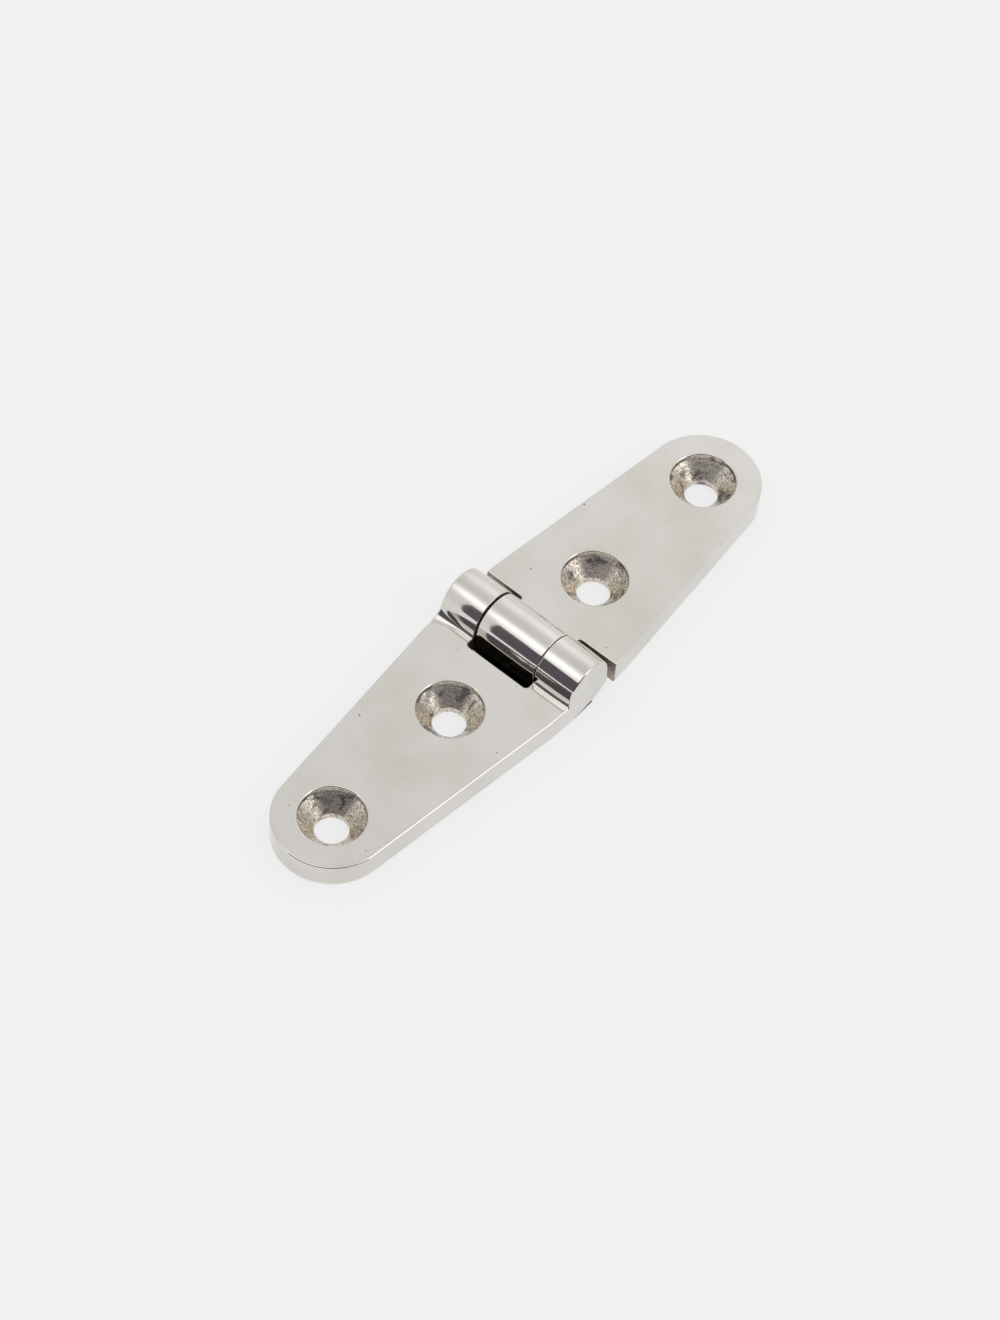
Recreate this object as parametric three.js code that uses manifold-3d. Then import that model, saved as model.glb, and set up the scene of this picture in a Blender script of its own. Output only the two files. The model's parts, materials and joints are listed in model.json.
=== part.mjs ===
// Cast strap hinge, lying flat open: two tapered leaves that turn on one hidden pin.
// Millimetres, +Z up. The origin is on the mounting plane, under the middle of the pin.
// The leaves run along X and the pin along Y. Leaf A, towards -X, has the two outer
// knuckles. Leaf B, towards +X, has the centre knuckle.

import * as THREE from 'three';
import Module from 'manifold-3d';
import { mergeVertices } from 'three/addons/utils/BufferGeometryUtils.js';

const wasm = await Module();
wasm.setup();

// Leaves
const openLength = 102;         // tip to tip
const hingeWidth = 25.4;        // across the knuckles
const leafThickness = 4.5;
const tipRadius = 9;
const shoulderX = 6.8;          // from the pin axis to where the sides start to taper
const shoulderBlend = 4;        // how far each way from there the side is eased round

// Screw holes, the same in both leaves. The outer one is at the centre of the tip's round.
const innerHoleX = 16.4;        // from the pin axis
const holeDiameter = 5.2;
const sinkDiameter = 10.1;
const sinkAngle = 90;           // degrees, the whole cone
const sinkLip = 0.9;            // straight wall above the cone, so that a screw head sits below the face

// Knuckles
const foldedGap = 2.9;          // between the two leaves when one is folded over the other
const barrelRadius = 4;
const centreWidth = 11.1;
const knuckleGap = 0.3;         // between neighbouring knuckles
const undersideGap = 0.8;       // between a knuckle and the mounting plane
const reliefX = 4.2;            // from the pin axis to where that gap starts, under the leaf
const footAngle = 31;           // degrees below level, the foot of a knuckle's free side
const swingGap = 1.15;          // between a knuckle's foot and the other leaf's root
const outerFillet = 0.8;        // where an outer knuckle meets the top of its leaf
const centreFillet = 1.3;       // where the centre knuckle meets the top of its leaf

// Pin
const pinDiameter = 4;
const pinClearance = 0.1;       // all round the pin
const pinChamfer = 0.3;
const pinEndGap = 0.3;          // between the pin and the closed end of its bore
const endWall = 2.2;            // closes the bore at the -Y end

// Facets
const barrelSteps = 36;
const undersideSteps = 10;
const filletSteps = 6;
const planSteps = 20;
const roundSteps = 48;

const cutPast = 1;              // how far a cutter runs past the face that it opens

const halfLength = openLength / 2;
const halfWidth = hingeWidth / 2;
const halfCentre = centreWidth / 2;
const pinRadius = pinDiameter / 2;
const pinAxisHeight = leafThickness + foldedGap / 2;
const undersideRadius = pinAxisHeight - undersideGap;
const rootX = undersideRadius + swingGap;
const outerHoleX = halfLength - tipRadius;
const farZ = pinAxisHeight + undersideRadius;

const polishedSteel = { color: 0xd3d0ca, roughness: 0.1, metalness: 1 };
const drawnSteel = { color: 0xbcbab5, roughness: 0.3, metalness: 1 };

function solidOf(geometry) {
  geometry.deleteAttribute('normal');
  geometry.deleteAttribute('uv');
  const merged = mergeVertices(geometry);
  return new wasm.Manifold(new wasm.Mesh({
    numProp: 3,
    vertProperties: merged.attributes.position.array,
    triVerts: new Uint32Array(merged.index.array),
  }));
}

function meshOf(name, solid, look) {
  const { vertProperties, triVerts } = solid.getMesh();
  const geometry = new THREE.BufferGeometry();
  geometry.setAttribute('position', new THREE.BufferAttribute(vertProperties, 3));
  geometry.setIndex(new THREE.BufferAttribute(triVerts, 1));
  geometry.computeVertexNormals();
  const mesh = new THREE.Mesh(geometry, new THREE.MeshStandardMaterial(look));
  mesh.name = name;
  return mesh;
}

function turnOf(point, centre) {
  return Math.atan2(point.y - centre.y, point.x - centre.x);
}

// Where a line from the point touches the circle, on the clockwise side.
function touchPoint(point, centre, radius) {
  const turn = turnOf(point, centre) - Math.acos(radius / point.distanceTo(centre));
  return new THREE.Vector2(Math.cos(turn), Math.sin(turn)).multiplyScalar(radius).add(centre);
}

function arcPoints(centre, radius, fromTurn, toTurn, clockwise, steps) {
  return new THREE.EllipseCurve(centre.x, centre.y, radius, radius, fromTurn, toTurn, clockwise)
    .getPoints(steps);
}

// The outline of a leaf and its knuckles from above, as a tall prism that runs towards +X.
function planPrism() {
  const tip = new THREE.Vector2(outerHoleX, 0);
  const shoulder = new THREE.Vector2(shoulderX, halfWidth);
  const touch = touchPoint(shoulder, tip, tipRadius);
  const eased = touch.clone().sub(shoulder).setLength(shoulderBlend).add(shoulder);
  const side = new THREE.Path();
  side.moveTo(-rootX, halfWidth);
  side.lineTo(shoulder.x - shoulderBlend, halfWidth);
  side.quadraticCurveTo(shoulder.x, shoulder.y, eased.x, eased.y);
  side.absarc(tip.x, tip.y, tipRadius, turnOf(touch, tip), 0, true);
  const left = side.getPoints(planSteps);
  const right = left.slice(0, -1).reverse().map(({ x, y }) => new THREE.Vector2(x, -y));
  const shape = new THREE.Shape([...left, ...right]);
  const prism = new THREE.ExtrudeGeometry(shape, { depth: farZ + 2 * cutPast, bevelEnabled: false });
  return solidOf(prism.translate(0, 0, -cutPast));
}

// The section of a leaf and its knuckle, in X and Z, drawn out along Y past both sides.
function sectionBar(fillet) {
  const axis = new THREE.Vector2(0, pinAxisHeight);
  const heel = touchPoint(new THREE.Vector2(reliefX, 0), axis, undersideRadius);
  const footTurn = THREE.MathUtils.degToRad(footAngle) - Math.PI;
  const foot = new THREE.Vector2(Math.cos(footTurn), Math.sin(footTurn))
    .multiplyScalar(undersideRadius).add(axis);
  const cheek = touchPoint(foot, axis, barrelRadius);
  const filletZ = leafThickness + fillet;
  const filletX = Math.sqrt((barrelRadius + fillet) ** 2 - (pinAxisHeight - filletZ) ** 2);
  const hollow = new THREE.Vector2(filletX, filletZ);
  const hollowTurn = turnOf(hollow, axis);
  const shape = new THREE.Shape([
    new THREE.Vector2(halfLength + cutPast, 0),
    new THREE.Vector2(reliefX, 0),
    ...arcPoints(axis, undersideRadius, turnOf(heel, axis), footTurn, true, undersideSteps),
    ...arcPoints(axis, barrelRadius, turnOf(cheek, axis), hollowTurn, true, barrelSteps),
    ...arcPoints(hollow, fillet, hollowTurn + Math.PI, 1.5 * Math.PI, false, filletSteps).slice(1),
    new THREE.Vector2(halfLength + cutPast, leafThickness),
  ]);
  const toY = halfWidth + cutPast;
  const bar = new THREE.ExtrudeGeometry(shape, { depth: 2 * toY, bevelEnabled: false });
  return solidOf(bar.rotateX(Math.PI / 2).translate(0, toY, 0));
}

// The space behind a leaf's root, at full height, from one Y to another.
function rootSpace(fromY, toY) {
  const fromX = -rootX - cutPast;
  const height = farZ + 2 * cutPast;
  const box = new THREE.BoxGeometry(rootX - fromX, toY - fromY, height);
  return solidOf(box.translate((rootX + fromX) / 2, (fromY + toY) / 2, height / 2 - cutPast));
}

function screwHole(x) {
  const holeRadius = holeDiameter / 2;
  const sinkRadius = sinkDiameter / 2;
  const coneTop = leafThickness - sinkLip;
  const coneDepth = (sinkRadius - holeRadius) / Math.tan(THREE.MathUtils.degToRad(sinkAngle / 2));
  const profile = [
    [0, -cutPast],
    [holeRadius, -cutPast],
    [holeRadius, coneTop - coneDepth],
    [sinkRadius, coneTop],
    [sinkRadius, leafThickness + cutPast],
    [0, leafThickness + cutPast],
  ].map(([r, z]) => new THREE.Vector2(r, z));
  const cutter = new THREE.LatheGeometry(profile, roundSteps);
  return solidOf(cutter.rotateX(Math.PI / 2).translate(x, 0, 0));
}

// A round bar along the pin axis, with chamfered ends.
function axisBar(radius, fromY, toY, chamfer) {
  const profile = [
    [0, fromY],
    [radius - chamfer, fromY],
    [radius, fromY + chamfer],
    [radius, toY - chamfer],
    [radius - chamfer, toY],
    [0, toY],
  ].map(([r, y]) => new THREE.Vector2(r, y));
  return solidOf(new THREE.LatheGeometry(profile, roundSteps).translate(0, 0, pinAxisHeight));
}

// A leaf that runs towards +X, with no bore yet.
function leafBlank(fillet) {
  return planPrism()
    .intersect(sectionBar(fillet))
    .subtract(screwHole(innerHoleX))
    .subtract(screwHole(outerHoleX));
}

// Leaf A is made towards +X too and then turned round, so its bore opens at its own -Y end.
function leafA() {
  const pocketY = halfCentre + knuckleGap;
  const solid = leafBlank(outerFillet)
    .subtract(rootSpace(-pocketY, pocketY))
    .subtract(axisBar(pinRadius + pinClearance, -halfWidth - cutPast, halfWidth - endWall, pinClearance));
  const mesh = meshOf('leaf_with_outer_knuckles', solid, polishedSteel);
  mesh.rotation.z = Math.PI;
  return mesh;
}

function leafB() {
  const outsideY = halfWidth + cutPast;
  const solid = leafBlank(centreFillet)
    .subtract(rootSpace(halfCentre, outsideY))
    .subtract(rootSpace(-outsideY, -halfCentre))
    .subtract(axisBar(pinRadius + pinClearance, -halfCentre - cutPast, halfCentre + cutPast, pinClearance));
  return meshOf('leaf_with_centre_knuckle', solid, polishedSteel);
}

function hingePin() {
  const solid = axisBar(pinRadius, -halfWidth + endWall + pinEndGap, halfWidth, pinChamfer);
  return meshOf('hinge_pin', solid, drawnSteel);
}

const hinge = new THREE.Group();
hinge.name = 'strap_hinge';
hinge.add(leafA(), leafB(), hingePin());

export default hinge;
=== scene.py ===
import json
import math

import bmesh
import bpy
from mathutils import Matrix, Vector


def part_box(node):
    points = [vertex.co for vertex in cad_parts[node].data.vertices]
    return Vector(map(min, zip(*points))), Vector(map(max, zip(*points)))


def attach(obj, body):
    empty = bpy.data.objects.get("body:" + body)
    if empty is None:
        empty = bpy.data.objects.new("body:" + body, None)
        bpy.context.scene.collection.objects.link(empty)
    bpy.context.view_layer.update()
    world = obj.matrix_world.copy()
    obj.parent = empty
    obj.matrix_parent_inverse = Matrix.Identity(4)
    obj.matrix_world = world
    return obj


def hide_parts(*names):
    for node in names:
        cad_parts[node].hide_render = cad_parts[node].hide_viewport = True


# Strap hinge in cast stainless, polished bright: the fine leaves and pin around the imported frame.
# Sizes in the dictionaries are millimetres and degrees, and mm turns them into Blender's metres.

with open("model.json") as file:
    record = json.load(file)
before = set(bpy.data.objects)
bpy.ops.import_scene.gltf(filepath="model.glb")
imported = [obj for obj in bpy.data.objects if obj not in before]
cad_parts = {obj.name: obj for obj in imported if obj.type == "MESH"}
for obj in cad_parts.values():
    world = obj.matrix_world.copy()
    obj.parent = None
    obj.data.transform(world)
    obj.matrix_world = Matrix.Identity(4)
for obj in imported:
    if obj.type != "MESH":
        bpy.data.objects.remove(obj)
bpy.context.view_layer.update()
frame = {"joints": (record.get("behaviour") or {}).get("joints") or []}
mm = 0.001

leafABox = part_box("leaf_with_outer_knuckles")
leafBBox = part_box("leaf_with_centre_knuckle")
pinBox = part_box("hinge_pin")
pivot = Vector(frame["joints"][0]["pos_m"])

halfLength = round(leafBBox[1].x / mm, 3)
halfWidth = round(leafABox[1].y / mm, 3)
pivotHeight = round(pivot.z / mm, 3)
barrelRadius = round((leafBBox[1].z - pivot.z) / mm, 3)
print("frame loaded: leaves", round(2 * halfLength, 2), "mm tip to tip")


def linear(hexColour):  # sRGB hex to the linear colour that the shaders take
    parts = [int(hexColour[i:i + 2], 16) / 255 for i in (1, 3, 5)]
    return tuple(p / 12.92 if p <= 0.04045 else ((p + 0.055) / 1.055) ** 2.4 for p in parts) + (1.0,)


def put(tree, kind, values=None, links=None, **settings):  # adds a node with its settings and links
    node = tree.nodes.new(kind)
    for name, value in settings.items():
        setattr(node, name, value)
    for name, value in (values or {}).items():
        node.inputs[name].default_value = value
    for name, source in (links or {}).items():
        tree.links.new(source, node.inputs[name])
    return node


def arc(centre, radius, start, stop, steps):  # points from one angle to the other, in degrees
    turns = [math.radians(start + (stop - start) * i / steps) for i in range(steps + 1)]
    return [(centre[0] + radius * math.cos(t), centre[1] + radius * math.sin(t)) for t in turns]


def angleTo(centre, point):
    return math.degrees(math.atan2(point[1] - centre[1], point[0] - centre[0]))


def touchAngle(point, centre, radius):  # where a line from the point touches the circle, clockwise of it
    return angleTo(centre, point) - math.degrees(math.acos(radius / math.dist(point, centre)))


def meshPiece(name, points, faces, material):
    mesh = bpy.data.meshes.new(name)
    mesh.from_pydata([Vector(p) * mm for p in points], [], faces)
    mesh.materials.append(material)
    piece = bpy.data.objects.new(name, mesh)
    bpy.context.scene.collection.objects.link(piece)
    return piece


def loft(name, rings, material):  # a closed solid through rings that have the same number of points
    count = len(rings[0])
    points = [p for ring in rings for p in ring]
    faces = [tuple(reversed(range(count))), tuple(range(len(points) - count, len(points)))]
    for i in range(len(rings) - 1):
        for j in range(count):
            k = (j + 1) % count
            faces.append((i * count + j, i * count + k, (i + 1) * count + k, (i + 1) * count + j))
    piece = meshPiece(name, points, faces, material)
    shape = bmesh.new()
    shape.from_mesh(piece.data)
    bmesh.ops.remove_doubles(shape, verts=shape.verts, dist=0.0001 * mm)
    bmesh.ops.recalc_face_normals(shape, faces=shape.faces)
    shape.to_mesh(piece.data)
    shape.free()
    return piece


def settle(piece):  # takes the modifiers into the mesh
    graph = bpy.context.evaluated_depsgraph_get()
    mesh = bpy.data.meshes.new_from_object(piece.evaluated_get(graph))
    piece.modifiers.clear()
    piece.data = mesh
    return piece


def carve(piece, operation, tool):
    cut = piece.modifiers.new("carve", "BOOLEAN")
    cut.operation = operation
    cut.solver = "EXACT"
    cut.material_mode = "TRANSFER"
    cut.object = tool
    settle(piece)
    bpy.data.objects.remove(tool)
    return piece


def steel(name, colour, roughness):
    material = bpy.data.materials.new(name)
    material.use_nodes = True
    shader = material.node_tree.nodes["Principled BSDF"]
    shader.inputs["Base Color"].default_value = linear(colour)
    shader.inputs["Metallic"].default_value = 1
    shader.inputs["Roughness"].default_value = roughness
    return material, material.node_tree, shader


def perMm(size):  # texture scale for features of about that many millimetres
    return 1 / (size * mm)


def tones(tree, factor, first, second):  # a colour between two hex values
    mix = put(tree, "ShaderNodeMix", {6: linear(first), 7: linear(second)}, {0: factor}, data_type="RGBA")
    return mix.outputs[2]


# Cast stainless, ground and then buffed to a mirror. The barrel shows dark, sharp reflections and the flats a
# clear pale sheen, a little uneven, with buffing lines along the hinge and a few pits left by the casting.
mirror = {
    "bright": "#DFDCD7", "dull": "#D5D2CA",
    "roughness": 0.035, "dullRoughness": 0.10,
    "cloud": 11.0,                          # size of the duller clouds
    "lineWidth": 0.30, "lineLength": 9.0,   # real buffing lines are a tenth as wide, too fine to show
    "lineDepth": 0.00012,
    "wave": 4.5, "waveDepth": 0.0035,       # how far the buffing wheel left the surface from true
    "pitSpacing": 13.0, "pitSize": 0.21, "pitDepth": 0.05, "pitColour": "#7A7268",
}


def polishedCastStainless():
    material, tree, shader = steel("polishedCastStainless", mirror["bright"], mirror["roughness"])
    place = put(tree, "ShaderNodeTexCoord").outputs["Object"]

    cloud = put(tree, "ShaderNodeTexNoise", {"Scale": perMm(mirror["cloud"]), "Detail": 3}, {"Vector": place})
    dull = put(tree, "ShaderNodeMapRange", {1: 0.42, 2: 0.68}, {0: cloud.outputs["Fac"]}).outputs["Result"]

    cell = put(tree, "ShaderNodeTexVoronoi", {"Scale": perMm(mirror["pitSpacing"])}, {"Vector": place},
               voronoi_dimensions="2D")
    chance = put(tree, "ShaderNodeSeparateColor", links={0: cell.outputs["Color"]}).outputs[0]
    reach = put(tree, "ShaderNodeMath", {1: mirror["pitSize"] / mirror["pitSpacing"]}, {0: chance},
                operation="MULTIPLY")
    share = put(tree, "ShaderNodeMath", links={0: cell.outputs["Distance"], 1: reach.outputs[0]},
                operation="DIVIDE")
    pit = put(tree, "ShaderNodeMapRange", {1: 0.5, 2: 1.0, 3: 1.0, 4: 0.0}, {0: share.outputs[0]},
              interpolation_type="SMOOTHSTEP").outputs["Result"]

    steelTone = tones(tree, dull, mirror["bright"], mirror["dull"])
    pitTone = put(tree, "ShaderNodeMix", {7: linear(mirror["pitColour"])}, {0: pit, 6: steelTone},
                  data_type="RGBA")
    tree.links.new(pitTone.outputs[2], shader.inputs["Base Color"])

    width = perMm(mirror["lineWidth"])
    along = put(tree, "ShaderNodeMapping", {"Scale": (perMm(mirror["lineLength"]), width, width)},
                {"Vector": place}).outputs["Vector"]
    lines = put(tree, "ShaderNodeTexNoise", {"Scale": 1, "Detail": 2, "Roughness": 0.7}, {"Vector": along})
    sheen = put(tree, "ShaderNodeMapRange", {3: mirror["roughness"], 4: mirror["dullRoughness"]}, {0: dull})
    worn = put(tree, "ShaderNodeMath", {1: 0.03}, {0: lines.outputs["Fac"], 2: sheen.outputs["Result"]},
               operation="MULTIPLY_ADD")
    tree.links.new(worn.outputs[0], shader.inputs["Roughness"])

    wave = put(tree, "ShaderNodeTexNoise", {"Scale": perMm(mirror["wave"]), "Detail": 1}, {"Vector": place})
    shape = put(tree, "ShaderNodeBump", {"Distance": mirror["waveDepth"] * mm},
                {"Height": wave.outputs["Fac"]})
    shape = put(tree, "ShaderNodeBump", {"Distance": mirror["lineDepth"] * mm},
                {"Height": lines.outputs["Fac"], "Normal": shape.outputs["Normal"]})
    shape = put(tree, "ShaderNodeBump", {"Distance": mirror["pitDepth"] * mm},
                {"Height": pit, "Normal": shape.outputs["Normal"]}, invert=True)
    tree.links.new(shape.outputs["Normal"], shader.inputs["Normal"])
    return material


# The screw holes are drilled and countersunk after casting and not polished: a torn, slightly crystalline cut
# with rings round the hole, warm where it is bright, and brown-grey oxide where the cutting fluid dried.
cutting = {
    "bright": "#EEE6D8", "worn": "#A9A094", "oxide": "#6F6661", "oxideCool": "#8F898E",
    "roughness": 0.20, "wornRoughness": 0.40,
    "grain": 0.38,                          # torn patches; the real grain is nearer 0.1 mm
    "stain": 2.6,
    "ring": 0.34, "ringDepth": 0.012,       # real feed marks are 0.1 mm apart, drawn coarser to show
    "grainDepth": 0.035,
}


def machinedStainless():
    material, tree, shader = steel("machinedStainless", cutting["bright"], cutting["roughness"])
    place = put(tree, "ShaderNodeTexCoord").outputs["Object"]

    # distance from the axis of the nearer of a leaf's two holes, the same on both leaves
    flat = put(tree, "ShaderNodeVectorMath", {1: (1, 1, 0)}, {0: place},
               operation="MULTIPLY").outputs["Vector"]
    folded = put(tree, "ShaderNodeVectorMath", links={0: flat}, operation="ABSOLUTE").outputs["Vector"]
    near = [put(tree, "ShaderNodeVectorMath", {1: (x * mm, 0, 0)}, {0: folded},
                operation="DISTANCE").outputs["Value"]
            for x in (hole["innerX"], halfLength - leaf["tipRadius"])]
    radius = put(tree, "ShaderNodeMath", links={0: near[0], 1: near[1]}, operation="MINIMUM").outputs[0]
    rings = put(tree, "ShaderNodeTexNoise", {"Scale": perMm(cutting["ring"]), "Detail": 2}, {"W": radius},
                noise_dimensions="1D").outputs["Fac"]

    grain = put(tree, "ShaderNodeTexNoise",
                {"Scale": perMm(cutting["grain"]), "Detail": 4, "Roughness": 0.65},
                {"Vector": place}).outputs["Fac"]
    torn = put(tree, "ShaderNodeMapRange", {1: 0.40, 2: 0.62}, {0: grain}).outputs["Result"]
    cloud = put(tree, "ShaderNodeTexNoise", {"Scale": perMm(cutting["stain"]), "Detail": 5, "Roughness": 0.62,
                "Distortion": 0.8}, {"Vector": place}).outputs["Fac"]
    stain = put(tree, "ShaderNodeMapRange", {1: 0.53, 2: 0.61}, {0: cloud}).outputs["Result"]

    cut = tones(tree, torn, cutting["bright"], cutting["worn"])
    oxide = tones(tree, torn, cutting["oxideCool"], cutting["oxide"])
    tone = put(tree, "ShaderNodeMix", links={0: stain, 6: cut, 7: oxide}, data_type="RGBA")
    tree.links.new(tone.outputs[2], shader.inputs["Base Color"])
    rough = put(tree, "ShaderNodeMapRange", {3: cutting["roughness"], 4: cutting["wornRoughness"]}, {0: torn})
    tree.links.new(rough.outputs["Result"], shader.inputs["Roughness"])

    shape = put(tree, "ShaderNodeBump", {"Distance": cutting["ringDepth"] * mm}, {"Height": rings})
    shape = put(tree, "ShaderNodeBump", {"Distance": cutting["grainDepth"] * mm},
                {"Height": grain, "Normal": shape.outputs["Normal"]})
    tree.links.new(shape.outputs["Normal"], shader.inputs["Normal"])
    return material


# Inside the slots and under the knuckles the casting is as it left the mould: a grainy brown-grey skin,
# mottled where light reaches it and dark where the walls stand close.
skin = {
    "dark": "#8A7D72", "pale": "#C2B8AC",
    "roughness": 0.5,
    "grain": 0.30, "grainDepth": 0.06,      # investment shell grit is 0.1 to 0.2 mm, drawn at the coarse end
    "patch": 1.4,
}


def asCastStainless():
    material, tree, shader = steel("asCastStainless", skin["dark"], skin["roughness"])
    place = put(tree, "ShaderNodeTexCoord").outputs["Object"]
    grain = put(tree, "ShaderNodeTexNoise", {"Scale": perMm(skin["grain"]), "Detail": 3}, {"Vector": place})
    patch = put(tree, "ShaderNodeTexNoise", {"Scale": perMm(skin["patch"]), "Detail": 4}, {"Vector": place})
    both = put(tree, "ShaderNodeMath", links={0: grain.outputs["Fac"], 1: patch.outputs["Fac"]},
               operation="MULTIPLY")
    share = put(tree, "ShaderNodeMapRange", {1: 0.20, 2: 0.36}, {0: both.outputs[0]}).outputs["Result"]
    tree.links.new(tones(tree, share, skin["dark"], skin["pale"]), shader.inputs["Base Color"])
    shape = put(tree, "ShaderNodeBump", {"Distance": skin["grainDepth"] * mm},
                {"Height": grain.outputs["Fac"]})
    tree.links.new(shape.outputs["Normal"], shader.inputs["Normal"])
    return material


# The underside is ground flat on a belt and left at that: a grey satin with straight scratches along
# the hinge.
ground = {
    "bright": "#C3BFB7", "scratch": "#9D988F",
    "roughness": 0.30, "scratchRoughness": 0.42,
    "lineWidth": 0.25, "lineLength": 14.0, "lineDepth": 0.004,  # a 120 grit belt, drawn twice as coarse
}


def groundCastStainless():
    material, tree, shader = steel("groundCastStainless", ground["bright"], ground["roughness"])
    place = put(tree, "ShaderNodeTexCoord").outputs["Object"]
    width = perMm(ground["lineWidth"])
    along = put(tree, "ShaderNodeMapping", {"Scale": (perMm(ground["lineLength"]), width, width)},
                {"Vector": place})
    lines = put(tree, "ShaderNodeTexNoise", {"Scale": 1, "Detail": 4, "Roughness": 0.7},
                {"Vector": along.outputs["Vector"]}).outputs["Fac"]
    share = put(tree, "ShaderNodeMapRange", {1: 0.40, 2: 0.65}, {0: lines}).outputs["Result"]
    tree.links.new(tones(tree, share, ground["bright"], ground["scratch"]), shader.inputs["Base Color"])
    rough = put(tree, "ShaderNodeMapRange", {3: ground["roughness"], 4: ground["scratchRoughness"]},
                {0: share})
    tree.links.new(rough.outputs["Result"], shader.inputs["Roughness"])
    shape = put(tree, "ShaderNodeBump", {"Distance": ground["lineDepth"] * mm}, {"Height": lines})
    tree.links.new(shape.outputs["Normal"], shader.inputs["Normal"])
    return material


# The pin is cut from drawn stainless bar: smooth, with faint die lines along it.
bar = {
    "bright": "#CBC8C2", "line": "#B4B0A8",
    "roughness": 0.22,
    "lineWidth": 0.2, "lineLength": 12.0, "lineDepth": 0.0015,
}


def drawnStainlessBar():
    material, tree, shader = steel("drawnStainlessBar", bar["bright"], bar["roughness"])
    place = put(tree, "ShaderNodeTexCoord").outputs["Object"]
    width = perMm(bar["lineWidth"])
    along = put(tree, "ShaderNodeMapping", {"Scale": (width, perMm(bar["lineLength"]), width)},
                {"Vector": place})
    lines = put(tree, "ShaderNodeTexNoise", {"Scale": 1, "Detail": 3},
                {"Vector": along.outputs["Vector"]}).outputs["Fac"]
    tree.links.new(tones(tree, lines, bar["bright"], bar["line"]), shader.inputs["Base Color"])
    shape = put(tree, "ShaderNodeBump", {"Distance": bar["lineDepth"] * mm}, {"Height": lines})
    tree.links.new(shape.outputs["Normal"], shader.inputs["Normal"])
    return material


leaf = {
    "thickness": 4.5,
    "tipRadius": 9.0,
    "shoulderX": 6.8,       # from the pin's axis to where the sides start to taper
    "shoulderBlend": 1.6,
    "undersideGap": 0.8,
    "knuckleRadius": 4.4,   # polished a little wider than the barrel's own circle
    "flankLean": 4.0,       # degrees from upright where a flank meets its fillet
    "reliefX": 4.2,
    "footAngle": -149.0,
    "rootX": 6.3,
    "topRound": 0.3,
    "bottomRound": 0.6,
    "knuckleRound": 0.14,
    "rootRound": 0.25,
    "planSteps": 72,
    "barrelSteps": 72,
    "filletSteps": 14,
    "undersideSteps": 16,
    "past": 1.0,            # how far a cutter runs past the face that it opens
    "spaceFrom": -9.0,      # the far side of the spaces cut behind a root
    "spaceBeyond": 3.0,     # how far those spaces run past the leaf's sides
    "cornerSteps": 8,
}

hole = {
    "innerX": 16.4,         # from the pin's axis; the outer hole is at the centre of the tip's round
    "diameter": 5.2,
    "sinkDiameter": 10.1,
    "sinkAngle": 90.0,
    "lip": 0.9,
    "rimRound": 0.3,
    "rimEnd": 96,           # degrees, where that round meets the face
    "rimSteps": 6,
    "exitChamfer": 0.15,
    "steps": 128,
}

polished = polishedCastStainless()
machined = machinedStainless()
asCast = asCastStainless()
groundFlat = groundCastStainless()
drawn = drawnStainlessBar()
print("steel finishes made")


edges = {  # how edges are rounded and shaded
    "weld": 0.02,
    "flatAngle": 0.05,      # faces closer to level with each other than this are joined
    "sharpAngle": 32,       # an edge sharper than this is rounded
    "segments": 4,
    "centreY": 7,           # edges nearer the middle than this are the centre knuckle's or the pocket's
    "shadeAngle": 38,       # faces closer than this shade smoothly into each other
    "areaPower": 1.5,       # how far the larger face leads
}


def planOutline():  # one side of a leaf from above, from behind the root round to the tip
    tip = (halfLength - leaf["tipRadius"], 0)
    shoulder = Vector((leaf["shoulderX"], halfWidth))
    touch = touchAngle(shoulder, tip, leaf["tipRadius"])
    tipArc = arc(tip, leaf["tipRadius"], touch, 0, leaf["planSteps"])
    blend = leaf["shoulderBlend"]
    eased = shoulder + (Vector(tipArc[0]) - shoulder).normalized() * blend
    ease = [shoulder - Vector((blend, 0)), eased]
    left = [(-leaf["rootX"] - 2, halfWidth)] + [tuple(p) for p in ease] + tipArc
    return left + [(x, -y) for x, y in reversed(left[:-1])]


def planSolid():
    outline = planOutline()
    top = pivotHeight + barrelRadius + 2 * leaf["past"]
    rings = [[(x, y, z) for x, y in outline] for z in (-leaf["past"], top)]
    return loft("plan", rings, polished)


def section(radius, fillet):  # the outline of a leaf and its knuckle in X and Z, for a knuckle of that radius
    axis = (0, pivotHeight)
    middle = (0, pivotHeight + barrelRadius - leaf["knuckleRadius"])
    underside = pivotHeight - leaf["undersideGap"]
    heel = touchAngle((leaf["reliefX"], 0), axis, underside)
    relief = arc(axis, underside, heel, leaf["footAngle"], leaf["undersideSteps"])
    cheek = touchAngle(relief[-1], middle, radius) + 360
    filletZ = leaf["thickness"] + fillet
    hollow = (math.sqrt((radius + fillet) ** 2 - (filletZ - middle[1]) ** 2), filletZ)
    join = angleTo(middle, hollow)
    if join < leaf["flankLean"]:  # a small fillet starts from a flank that leans out a little
        join = leaf["flankLean"]
        lean = math.radians(join)
        hollow = ((radius + fillet - (filletZ - middle[1]) * math.sin(lean)) / math.cos(lean), filletZ)
    end = halfLength + leaf["past"]
    return ([(end, 0), (leaf["reliefX"], 0)] + relief
            + arc(middle, radius, cheek, join, leaf["barrelSteps"])
            + arc(hollow, fillet, join + 180, 270, leaf["filletSteps"])
            + [(end, leaf["thickness"])])


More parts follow.
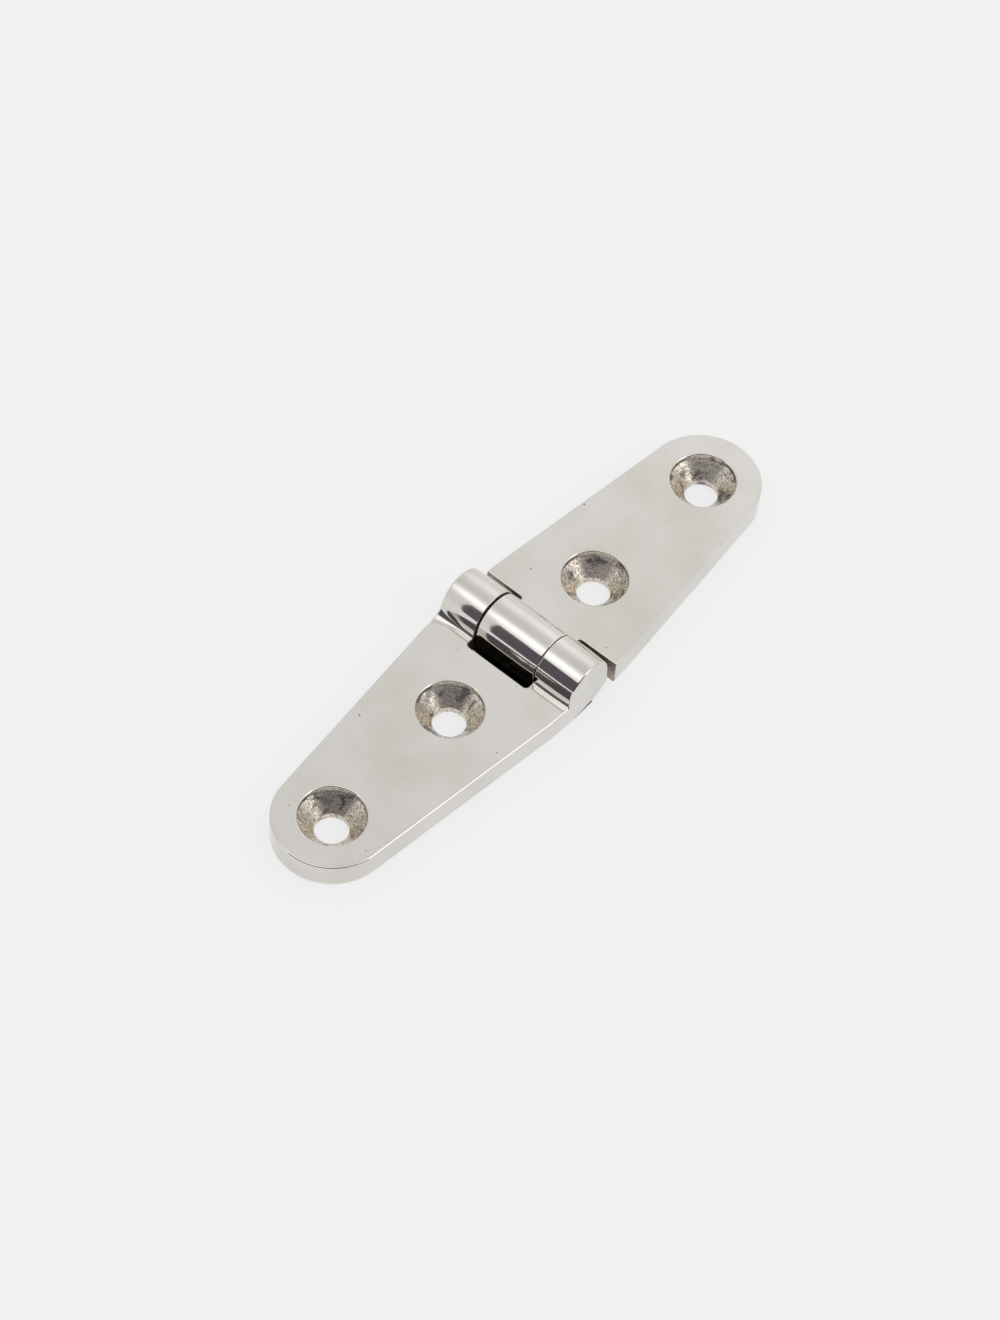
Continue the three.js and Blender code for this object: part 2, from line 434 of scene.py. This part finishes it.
def crowned(sizes):  # the section drawn along Y, a little smaller towards the knuckle's polished-off ends
    span = sizes["crownTo"] - sizes["crownFrom"]

    def ring(y):
        past = max(0, abs(y) - sizes["crownFrom"]) / span
        radius = leaf["knuckleRadius"] - sizes["crown"] * min(past, 1.2) ** 2
        fillet = sizes["fillet"]
        if y < 0:
            fillet += (sizes["filletAtEnd"] - fillet) * past ** 1.5
        return [(x, y, z) for x, z in section(radius, fillet)]

    steps = sizes["crownSteps"]
    last = sizes["crownTo"] - sizes["endSpan"]
    ys = [sizes["crownFrom"] + (last - sizes["crownFrom"]) * i / steps for i in range(steps + 1)]
    ys += [sizes["crownTo"] + leaf["past"]]
    if sizes["crownTo"] < halfWidth:
        ys += [halfWidth + leaf["past"]]
    return loft("section", [ring(y) for y in [-y for y in reversed(ys)] + ys], polished)


def roundedBlock(lowX, highX, lowY, highY, corner, material):  # full height, with rounded upright corners
    ring = []
    for x, y, turn in ((highX - corner, highY - corner, 0), (lowX + corner, highY - corner, 90),
                       (lowX + corner, lowY + corner, 180), (highX - corner, lowY + corner, 270)):
        ring += arc((x, y), corner, turn, turn + 90, leaf["cornerSteps"])
    top = pivotHeight + barrelRadius + 2 * leaf["past"]
    return loft("space", [[(x, y, z) for x, y in ring] for z in (-leaf["past"], top)], material)


def roundEdges(piece):  # every sharp edge gets the radius that polishing or casting left on it
    mesh = piece.data
    shape = bmesh.new()
    shape.from_mesh(mesh)
    bmesh.ops.remove_doubles(shape, verts=shape.verts, dist=edges["weld"] * mm)
    bmesh.ops.dissolve_limit(shape, angle_limit=math.radians(edges["flatAngle"]), verts=shape.verts,
                             edges=shape.edges, delimit={"MATERIAL"})
    weights = shape.edges.layers.float.new("bevel_weight_edge")
    widest = leaf["bottomRound"]
    sharp = math.radians(edges["sharpAngle"])
    for edge in shape.edges:
        if len(edge.link_faces) == 2 and edge.calc_face_angle(0) > sharp:
            height = sum(v.co.z for v in edge.verts) / 2 / mm
            reach = max(abs(v.co.x) for v in edge.verts) / mm
            width = leaf["topRound"]
            if height < 0.05 and reach > leaf["rootX"] + 0.2:
                width = leaf["bottomRound"]
            elif height < leaf["thickness"] - 0.1:
                width = leaf["rootRound"]
            elif height > leaf["thickness"] + 0.4 and abs(edge.verts[0].co.y) < edges["centreY"] * mm:
                width = leaf["knuckleRound"]
            edge[weights] = width / widest
    shape.to_mesh(mesh)
    shape.free()
    bevel = piece.modifiers.new("rounded", "BEVEL")
    bevel.limit_method = "WEIGHT"
    bevel.width = widest * mm
    bevel.segments = edges["segments"]
    bevel.use_clamp_overlap = False
    bevel.miter_outer = "MITER_ARC"
    return settle(piece)


def screwHole(x):
    radius = hole["diameter"] / 2
    sink = hole["sinkDiameter"] / 2
    top = leaf["thickness"]
    rim = hole["rimRound"]
    coneTop = top - hole["lip"]
    coneFoot = coneTop - (sink - radius) / math.tan(math.radians(hole["sinkAngle"] / 2))
    chamfer = hole["exitChamfer"]
    profile = [(radius + chamfer + leaf["past"], -leaf["past"]), (radius, chamfer), (radius, coneFoot),
               (sink, coneTop)]
    profile += arc((sink + rim, top - rim), rim, 180, hole["rimEnd"], hole["rimSteps"])
    profile += [(sink + rim, top + leaf["past"])]
    turns = [math.tau * i / hole["steps"] for i in range(hole["steps"])]
    rings = [[(x + r * math.cos(t), r * math.sin(t), z) for t in turns] for r, z in profile]
    tool = loft("screwHole", rings, machined)
    tool.data.materials.append(polished)
    for face in tool.data.polygons:
        if face.center.z > (top - rim) * mm:
            face.material_index = 1
    return tool


def axisBar(name, radius, fromY, toY, chamfer, material, steps=96):
    profile = [(radius - chamfer, fromY), (radius, fromY + chamfer), (radius, toY - chamfer),
               (radius - chamfer, toY)]
    turns = [math.tau * i / steps for i in range(steps)]
    rings = [[(r * math.cos(t), y, pivotHeight + r * math.sin(t)) for t in turns] for r, y in profile]
    return loft(name, rings, material)


def finishUnderside(piece):  # the seat is belt-ground, and the hollow under the knuckle is left as cast
    for material in (groundFlat, asCast):
        if material.name not in piece.data.materials:
            piece.data.materials.append(material)
    names = [material.name for material in piece.data.materials]
    for face in piece.data.polygons:
        if names[face.material_index] == polished.name and face.normal.z < -0.2:
            flat = face.normal.z < -0.98 and face.center.z < 0.05 * mm
            if flat or abs(face.center.x) < leaf["rootX"] * mm:
                face.material_index = names.index((groundFlat if flat else asCast).name)


def smooth(piece):  # broad faces keep their own direction, so a rounded edge doesn't bend the reflections
    mesh = piece.data
    around = [[] for vertex in mesh.vertices]
    for face in mesh.polygons:
        face.use_smooth = True
        for index in face.vertices:
            around[index].append((face.normal.copy(), (face.area / mm ** 2) ** edges["areaPower"]))
    sharp = math.cos(math.radians(edges["shadeAngle"]))
    normals = []
    for face in mesh.polygons:
        for index in face.vertices:
            blended = sum((n * weight for n, weight in around[index] if n.dot(face.normal) > sharp), Vector())
            normals.append(blended.normalized() if blended.length else face.normal)
    mesh.normals_split_custom_set(normals)
    return piece


outerKnuckles = {
    "fillet": 0.5,
    "filletAtEnd": 2.8,     # one end is blended wider into its leaf
    "crown": 0.17,          # how much smaller the radius is at the polished-off end
    "crownFrom": 8.0,
    "crownTo": halfWidth,
    "endSpan": 0.35,        # a straight span for the rounded edge
    "crownSteps": 14,
    "pocketLow": -5.70,     # the pocket sits a little off centre, tight on one side of the centre knuckle
    "pocketHigh": 5.87,
    "pocketX": 5.95,
    "corner": 0.5,
}

centreKnuckle = {
    "fillet": 1.3,
    "filletAtEnd": 1.3,
    "crown": 0.10,
    "crownFrom": 2.4,
    "crownTo": 5.55,
    "endSpan": 0.7,
    "crownSteps": 10,
    "corner": 0.5,
}

bore = {
    "radius": (pinBox[1].z - pinBox[0].z) / 2 / mm + 0.1,     # 0.1 of clearance
    "chamfer": 0.1,
    "endGap": 0.3,          # between the pin and the closed end
    "pinChamfer": 0.3,
}


def leafWithOuterKnuckles():
    sizes = outerKnuckles
    blank = carve(crowned(sizes), "INTERSECT", planSolid())
    pocket = roundedBlock(leaf["spaceFrom"], sizes["pocketX"], -sizes["pocketHigh"], -sizes["pocketLow"],
                          sizes["corner"], asCast)
    carve(blank, "DIFFERENCE", pocket)
    roundEdges(blank)
    for x in (hole["innerX"], halfLength - leaf["tipRadius"]):
        carve(blank, "DIFFERENCE", screwHole(x))
    blind = -pinBox[0].y / mm + bore["endGap"]
    carve(blank, "DIFFERENCE",
          axisBar("bore", bore["radius"], -halfWidth - leaf["past"], blind, bore["chamfer"], machined))
    finishUnderside(blank)
    blank.data.transform(Matrix.Rotation(math.pi, 4, "Z"))
    blank.name = "leafWithOuterKnuckles"
    return smooth(blank)


def leafWithCentreKnuckle():
    sizes = centreKnuckle
    blank = carve(crowned(sizes), "INTERSECT", planSolid())
    for side in (-1, 1):
        low, high = sorted((side * sizes["crownTo"], side * (halfWidth + leaf["spaceBeyond"])))
        carve(blank, "DIFFERENCE", roundedBlock(leaf["spaceFrom"], leaf["rootX"], low, high,
                                                sizes["corner"], asCast))
    roundEdges(blank)
    for x in (hole["innerX"], halfLength - leaf["tipRadius"]):
        carve(blank, "DIFFERENCE", screwHole(x))
    end = sizes["crownTo"] + leaf["past"]
    carve(blank, "DIFFERENCE", axisBar("bore", bore["radius"], -end, end, bore["chamfer"], machined))
    finishUnderside(blank)
    blank.name = "leafWithCentreKnuckle"
    return smooth(blank)


def hingePin():
    radius = (pinBox[1].z - pinBox[0].z) / 2 / mm
    return smooth(axisBar("hingePin", radius, pinBox[0].y / mm, pinBox[1].y / mm,
                          bore["pinChamfer"], drawn))


leafA = leafWithOuterKnuckles()
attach(leafA, "leaf_a")
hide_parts("leaf_with_outer_knuckles")
print("leaf with outer knuckles:", len(leafA.data.polygons), "faces")

leafB = leafWithCentreKnuckle()
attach(leafB, "leaf_b")
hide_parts("leaf_with_centre_knuckle")
print("leaf with centre knuckle:", len(leafB.data.polygons), "faces")

pin = hingePin()
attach(pin, "leaf_a")
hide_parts("hinge_pin")
print("pin made")

studio = {
    "floorSize": 8.0,           # metres
    "floorZ": -0.05, "patchZ": -0.01,   # far enough apart not to flicker
    "floorColour": "#707072",
    "floorGlow": 0.725,         # the paper lies on a light table
    "horizonLight": 0.86,       # the light tent, at the floor's level and overhead
    "overheadLight": 0.725,
}

shade = {  # the patch of floor near the pin, where painted shade dims the floor's glow under the hinge
    "fromX": -leaf["rootX"] + 0.6, "toX": leaf["rootX"] + 6,
    "halfY": halfWidth - 1.8,
    "fade": 0.7,                # at its two sides
    "reach": 5,                 # how near something has to be to count as standing over the floor
    "rays": 8,
    "fall": 2.0,                # how fast the glow goes as the floor is covered
}

lamps = [  # soft glows through the tent's walls; spread is where each has fallen to half
    {"azimuth": 138, "elevation": 58, "spread": 11, "strength": 0.75},
    {"azimuth": 20, "elevation": 38, "spread": 17, "strength": 0.31},
    {"azimuth": -74, "elevation": 42, "spread": 16, "strength": 1.6},
    {"azimuth": 190, "elevation": 62, "spread": 14, "strength": 0.7},
]

opening = {  # the tent's open side: a dark room that the polished faces mirror
    "topFrom": 151, "footFrom": 157, "to": 278,     # degrees, as in towards()
    "footHeight": 2, "edgeHeight": 41.5, "middleHeight": 45,      # degrees above the floor
    "distance": 1.2,            # metres
    "colour": "#5E5A63",
    "steps": 48,
}


def towards(azimuth, elevation, distance=1):  # azimuth in degrees from +X towards +Y
    a, e = math.radians(azimuth), math.radians(elevation)
    return Vector((math.cos(e) * math.cos(a), math.cos(e) * math.sin(a), math.sin(e))) * distance


def matt(name, colour, roughness=0.9):
    material = bpy.data.materials.new(name)
    material.use_nodes = True
    shader = material.node_tree.nodes["Principled BSDF"]
    shader.inputs["Base Color"].default_value = linear(colour)
    shader.inputs["Roughness"].default_value = roughness
    shader.inputs["Specular IOR Level"].default_value = 0.1
    return material


def paper(name, lowX, highX, lowY, highY, z):
    material = matt(name, studio["floorColour"])
    tree = material.node_tree
    shader = tree.nodes["Principled BSDF"]
    shader.inputs["Emission Color"].default_value = linear("#FFFFFF")
    shader.inputs["Emission Strength"].default_value = studio["floorGlow"]
    under = put(tree, "ShaderNodeNewGeometry").outputs["Backfacing"]  # seen from below, the floor is clear
    clear = put(tree, "ShaderNodeBsdfTransparent").outputs["BSDF"]
    mix = put(tree, "ShaderNodeMixShader", links={0: under, 1: shader.outputs["BSDF"], 2: clear})
    tree.links.new(mix.outputs["Shader"], tree.nodes["Material Output"].inputs["Surface"])
    corners = [(lowX, lowY, z), (highX, lowY, z), (highX, highY, z), (lowX, highY, z)]
    meshPiece(name, corners, [(0, 1, 2, 3)], material)
    return tree, shader


def paperFloor():
    half = studio["floorSize"] / 2 / mm
    paper("glowingPaper", -half, half, -half, half, studio["floorZ"])
    # near the pin, painted shade: an occlusion test dims the paper's glow where the hinge stands over it
    wide = shade["halfY"]
    tree, shader = paper("shadedPaper", shade["fromX"], shade["toX"], -wide, wide, studio["patchZ"])
    clear = put(tree, "ShaderNodeAmbientOcclusion", {"Distance": shade["reach"] * mm},
                samples=shade["rays"]).outputs["AO"]
    clear = put(tree, "ShaderNodeMath", {1: shade["fall"]}, {0: clear}, operation="POWER").outputs["Value"]
    place = put(tree, "ShaderNodeTexCoord").outputs["Object"]
    side = put(tree, "ShaderNodeSeparateXYZ", links={"Vector": place}).outputs["Y"]
    side = put(tree, "ShaderNodeMath", links={0: side}, operation="ABSOLUTE").outputs["Value"]
    edge = put(tree, "ShaderNodeMapRange", {1: (wide - shade["fade"]) * mm, 2: wide * mm},
               {0: side}).outputs["Result"]
    # painted shade: the glow follows how open the floor is above it, fading to full glow at the patch's sides
    share = put(tree, "ShaderNodeMath", links={0: clear, 1: edge}, operation="MAXIMUM").outputs["Value"]
    glow = put(tree, "ShaderNodeMath", {1: studio["floorGlow"]}, {0: share}, operation="MULTIPLY")
    tree.links.new(glow.outputs["Value"], shader.inputs["Emission Strength"])


def lightTent():
    world = bpy.data.worlds.new("lightTent")
    bpy.context.scene.world = world
    world.use_nodes = True
    tree = world.node_tree
    direction = put(tree, "ShaderNodeTexCoord").outputs["Generated"]
    height = put(tree, "ShaderNodeSeparateXYZ", links={"Vector": direction}).outputs["Z"]
    light = put(tree, "ShaderNodeMapRange",
                {"To Min": studio["horizonLight"], "To Max": studio["overheadLight"]},
                {"Value": height}).outputs["Result"]
    for lamp in lamps:
        middle = towards(lamp["azimuth"], lamp["elevation"])
        sharpness = math.log(0.5) / math.log(math.cos(math.radians(lamp["spread"])))
        facing = put(tree, "ShaderNodeVectorMath", {1: middle}, {0: direction},
                     operation="DOT_PRODUCT")
        front = put(tree, "ShaderNodeMath", {1: 0.0}, {0: facing.outputs["Value"]}, operation="MAXIMUM")
        glow = put(tree, "ShaderNodeMath", {1: sharpness}, {0: front.outputs["Value"]}, operation="POWER")
        light = put(tree, "ShaderNodeMath", {1: lamp["strength"]}, {0: glow.outputs["Value"], 2: light},
                    operation="MULTIPLY_ADD").outputs["Value"]
    tree.links.new(light, tree.nodes["Background"].inputs["Strength"])
    tree.nodes["Background"].inputs["Color"].default_value = (1, 1, 1, 1)


def darkOpening():
    steps = opening["steps"]
    rise = opening["middleHeight"] - opening["edgeHeight"]
    points = []
    for i in range(steps + 1):
        share = i / steps
        tall = opening["edgeHeight"] + rise * math.sin(math.pi * share)
        for start, elevation in ((opening["footFrom"], opening["footHeight"]), (opening["topFrom"], tall)):
            out = towards(start + (opening["to"] - start) * share, 0, opening["distance"]) / mm
            points.append(out + Vector((0, 0, out.length * math.tan(math.radians(elevation)))))
    faces = [(2 * i, 2 * i + 1, 2 * i + 3, 2 * i + 2) for i in range(steps)]
    room = meshPiece("darkOpening", points, faces, matt("darkCloth", opening["colour"]))
    for ray in ("visible_camera", "visible_diffuse", "visible_shadow", "visible_transmission"):
        setattr(room, ray, False)  # it is there for the reflections only


paperFloor()
lightTent()
darkOpening()

camera = {
    "azimuth": -53.51,      # looked from, as in the frame's views
    "elevation": 53.94,
    "roll": 5.43,
    "distance": 642.2,
    "aim": (-2.117, 2.417, 0.0),
    "lens": 118.07,
    "sensor": 36.0,
    "near": 0.01, "far": 50,    # metres
}


def placeCamera():
    data = bpy.data.cameras.new("camera")
    data.lens = camera["lens"]
    data.sensor_width = camera["sensor"]
    obj = bpy.data.objects.new("camera", data)
    bpy.context.scene.collection.objects.link(obj)
    a, e = math.radians(camera["azimuth"]), math.radians(camera["elevation"])
    back = Vector((math.sin(a) * math.cos(e), -math.cos(a) * math.cos(e), math.sin(e)))
    obj.location = Vector(camera["aim"]) * mm + back * camera["distance"] * mm
    obj.rotation_mode = "QUATERNION"
    level = (-back).to_track_quat("-Z", "Y")
    obj.rotation_quaternion = level @ Matrix.Rotation(math.radians(camera["roll"]), 3, "Z").to_quaternion()
    data.clip_start, data.clip_end = camera["near"], camera["far"]
    bpy.context.scene.camera = obj


placeCamera()
bpy.context.scene.view_settings.view_transform = "Standard"
print("stage, light and camera placed")
